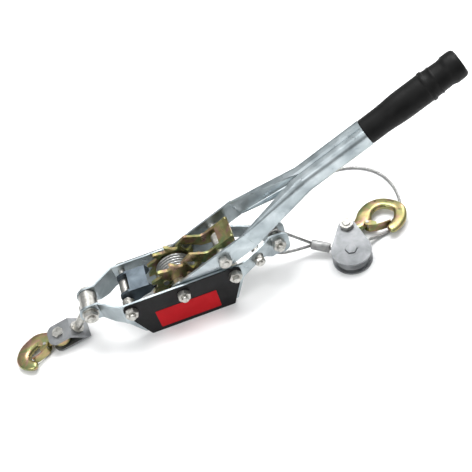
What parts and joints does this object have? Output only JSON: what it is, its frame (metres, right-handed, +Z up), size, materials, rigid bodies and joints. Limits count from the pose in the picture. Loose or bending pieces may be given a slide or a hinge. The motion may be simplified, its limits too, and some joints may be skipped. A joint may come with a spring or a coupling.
{
  "type": "come along winch",
  "caption": "Hand power puller: ratchet drum between two steel plates, long fork handle with rubber grip, swivel hook in front, wire rope round a pulley block with a second hook",
  "frame": {"origin": "middle of the bounding box of everything but the rope, on the floor the winch stands on", "axes": "+X along the frame towards the handle's grip, +Y across the frame away from the labelled side, +Z up"},
  "size_m": [0.7034, 0.2103, 0.2701],
  "materials": {
    "blue_zinc": "bright bluish zinc plate",
    "bright_zinc": "bright zinc plate",
    "yellow_zinc": "iridescent yellow zinc plate",
    "grey_zinc": "dull grey zinc",
    "dull_blue_zinc": "dull blue-grey zinc",
    "black_paint": "satin black paint",
    "red_label": "blank printed label",
    "black_rubber": "moulded rubber",
    "rope_steel": "stranded wire rope",
    "ferrule_alloy": "pressed sleeve"
  },
  "bodies": {
    "frame": {"side_plate_near": "blue_zinc", "side_plate_far": "blue_zinc", "cover_near": "black_paint", "cover_far": "black_paint", "label": "red_label", "drum_axle": "bright_zinc", "front_cross_bolt": "bright_zinc", "rear_cross_bolt": "bright_zinc", "front_anchor_bolt": "bright_zinc", "rear_anchor_bolt": "bright_zinc", "rope_guide_bolt": "bright_zinc", "frame_nuts": "bright_zinc", "anchor_nuts": "bright_zinc", "frame_washers": "bright_zinc", "drum_spacers": "bright_zinc", "rear_cross_sleeve": "bright_zinc", "stop_pawl_sleeve": "bright_zinc", "rope_guide_sleeve": "bright_zinc", "rope_anchor_sleeve": "bright_zinc", "stop_pawl_spring": "bright_zinc", "block_cheek_lower": "grey_zinc", "block_cheek_upper": "grey_zinc", "sheave_pin": "grey_zinc", "block_bolt": "bright_zinc", "block_nut": "bright_zinc", "rope_eye": "rope_steel", "ferrule": "ferrule_alloy", "free_rope": "rope_steel"},
    "drum": {"drum_core": "yellow_zinc", "rope_winding": "rope_steel", "ratchet_near": "yellow_zinc", "ratchet_far": "yellow_zinc", "drum_rivets": "bright_zinc"},
    "handle": {"handle_half_near": "blue_zinc", "handle_half_far": "blue_zinc", "handle_rivets": "blue_zinc", "grip": "black_rubber", "drive_pawl_bolt": "bright_zinc", "drive_pawl_nut": "bright_zinc", "drive_pawl_sleeves": "bright_zinc", "drive_pawl_spring": "bright_zinc"},
    "drive_pawl": {"drive_pawl": "yellow_zinc"},
    "stop_pawl": {"stop_pawl": "dull_blue_zinc"},
    "stud": {"swivel_stud": "bright_zinc"},
    "bracket": {"front_bracket": "grey_zinc", "bracket_pin": "bright_zinc"},
    "front_hook": {"front_hook": "yellow_zinc", "front_latch_pin": "bright_zinc"},
    "front_latch": {"front_latch": "yellow_zinc"},
    "sheave": {"sheave": "grey_zinc"},
    "rear_hook": {"rear_hook": "yellow_zinc", "rear_latch_pin": "bright_zinc"},
    "rear_latch": {"rear_latch": "yellow_zinc"}
  },
  "joints": [
    {"name": "drum_spin", "type": "hinge", "parent": "frame", "child": "drum", "pos_m": [-0.08629, 0.0064, 0.06], "axis": [0, 1, 0], "continuous": true},
    {"name": "handle_swing", "type": "hinge", "parent": "frame", "child": "handle", "pos_m": [-0.08629, 0.0064, 0.06], "axis": [0, -1, 0], "range_deg": [0, 90]},
    {"name": "drive_pawl_lift", "type": "hinge", "parent": "handle", "child": "drive_pawl", "pos_m": [-0.01697, 0.0064, 0.09115], "axis": [0, -1, 0], "range_deg": [-25, 0], "stiffness_Nm_per_rad": 0.3, "springref_deg": 22.92},
    {"name": "stop_pawl_lift", "type": "hinge", "parent": "frame", "child": "stop_pawl", "pos_m": [-0.16229, 0.0064, 0.062], "axis": [0, 1, 0], "range_deg": [-18, 0], "stiffness_Nm_per_rad": 0.3, "springref_deg": 22.92},
    {"name": "stud_swing", "type": "hinge", "parent": "frame", "child": "stud", "pos_m": [-0.21829, 0.0064, 0.061], "axis": [0, 1, 0], "range_deg": [-35, 120]},
    {"name": "bracket_swivel", "type": "hinge", "parent": "stud", "child": "bracket", "pos_m": [-0.25318, 0.0064, 0.01913], "axis": [-0.6402, 0, -0.7682], "continuous": true},
    {"name": "front_hook_turn", "type": "hinge", "parent": "bracket", "child": "front_hook", "pos_m": [-0.27738, 0.00528, 0.01417], "axis": [-0.1045, 0, 0.9945], "range_deg": [-40, 40]},
    {"name": "front_latch_open", "type": "hinge", "parent": "front_hook", "child": "front_latch", "pos_m": [-0.30175, 0.00048, 0.01161], "axis": [-0.1045, 0, 0.9945], "range_deg": [-20, 0], "stiffness_Nm_per_rad": 0.03, "springref_deg": 22.92},
    {"name": "sheave_spin", "type": "hinge", "parent": "frame", "child": "sheave", "pos_m": [0.15851, -0.0314, 0.011], "axis": [0, 0, 1], "continuous": true},
    {"name": "rear_hook_turn", "type": "hinge", "parent": "frame", "child": "rear_hook", "pos_m": [0.16861, 0.0122, 0.0113], "axis": [0, 0, 1], "range_deg": [0, 35]},
    {"name": "rear_latch_open", "type": "hinge", "parent": "rear_hook", "child": "rear_latch", "pos_m": [0.19885, 0.00894, 0.0113], "axis": [0, 0, -1], "range_deg": [-20, 0], "stiffness_Nm_per_rad": 0.03, "springref_deg": 22.92}
  ]
}
